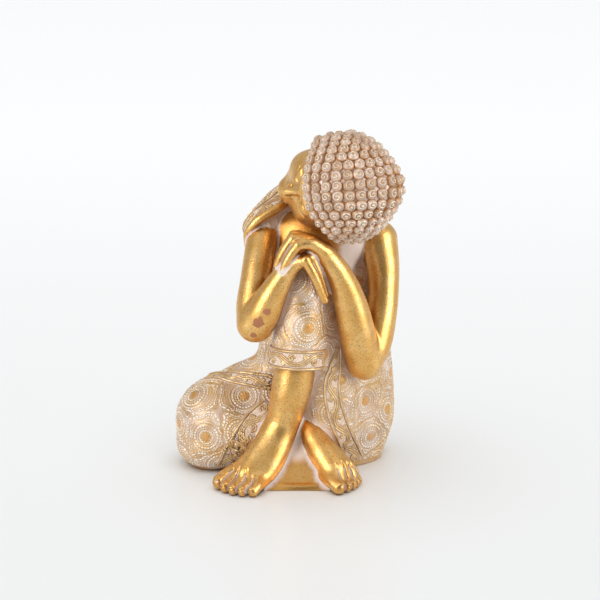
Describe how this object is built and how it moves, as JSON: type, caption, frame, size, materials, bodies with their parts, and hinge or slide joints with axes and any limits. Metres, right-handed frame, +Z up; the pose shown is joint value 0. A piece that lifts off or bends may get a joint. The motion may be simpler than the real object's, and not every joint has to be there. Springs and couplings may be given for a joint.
{
  "type": "resting buddha statue",
  "caption": "Seated figure asleep with its head on crossed hands over a raised knee; gilt resin with a washed, patterned robe and curled hair.",
  "frame": {"origin": "on the flat underside of the base between the feet, near the middle of the footprint", "axes": "+Z up, -Y the front that the feet point to, +X the viewer's right"},
  "size_m": [0.1376, 0.1122, 0.2102],
  "materials": {
    "gilt_skin": "satin gold leaf over resin",
    "gilt_base": "gold leaf with a pale wash in the hollows",
    "washed_robe": "gold-tan resin, dry-brushed white relief pattern",
    "scroll_trim": "raised gold scrolls over a pale wash",
    "washed_hair": "beige-pink wash over gold"
  },
  "bodies": {
    "root": {"head": "gilt_skin", "hair_cap": "washed_hair", "chest": "gilt_skin", "left_arm": "gilt_skin", "right_arm": "gilt_skin", "left_hand": "gilt_skin", "right_hand": "gilt_skin", "raised_leg": "gilt_skin", "folded_foot": "gilt_skin", "knee_drape": "washed_robe", "thigh_robe": "washed_robe", "torso_robe": "washed_robe", "folded_thigh": "washed_robe", "folded_knee": "washed_robe", "hem_band": "scroll_trim", "lap_trim": "scroll_trim", "folded_hem_trim": "scroll_trim", "side_trim": "scroll_trim", "shoulder_trim": "scroll_trim", "base_web": "gilt_base"}
  },
  "joints": []
}
